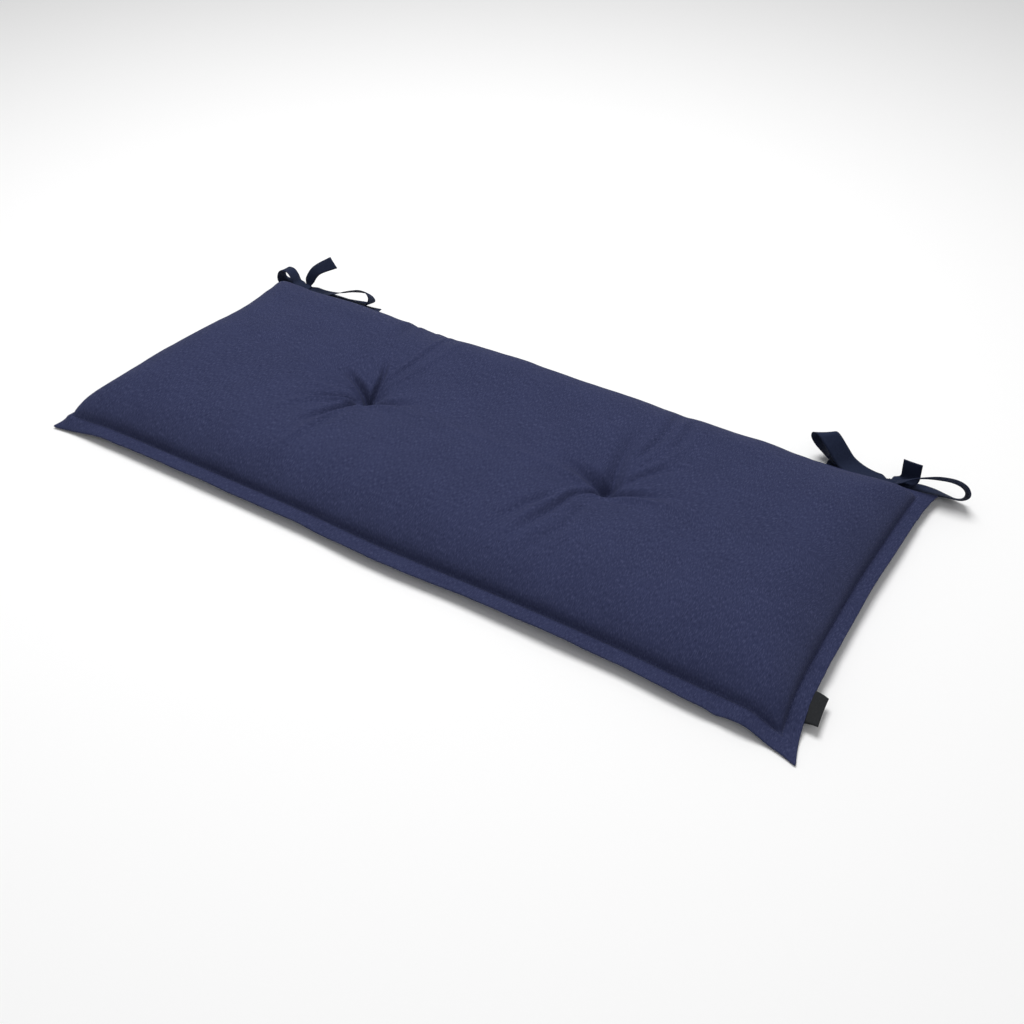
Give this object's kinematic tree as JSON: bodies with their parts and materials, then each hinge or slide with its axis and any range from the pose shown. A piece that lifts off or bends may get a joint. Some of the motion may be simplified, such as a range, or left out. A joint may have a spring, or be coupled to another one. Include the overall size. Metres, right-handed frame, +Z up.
{
  "type": "bench cushion",
  "caption": "Long padded bench cushion, tufted, with a flat stitched flange all round, bow-tied tapes at the back corners and a blank side label.",
  "frame": {"origin": "on the flat underside, below the middle of the cushion", "axes": "+X along the bench towards the end with the label, +Y from the front edge to the back edge that carries the ties, +Z up"},
  "size_m": [1.1201, 0.5199, 0.0713],
  "materials": {
    "cover_cloth": "matte navy melange weave",
    "tie_tape": "matte dark navy woven tape",
    "label_tape": "satin black woven tape"
  },
  "bodies": {
    "root": {"cushion": "cover_cloth", "tie_left": "tie_tape", "tie_right": "tie_tape", "label": "label_tape"}
  },
  "joints": []
}
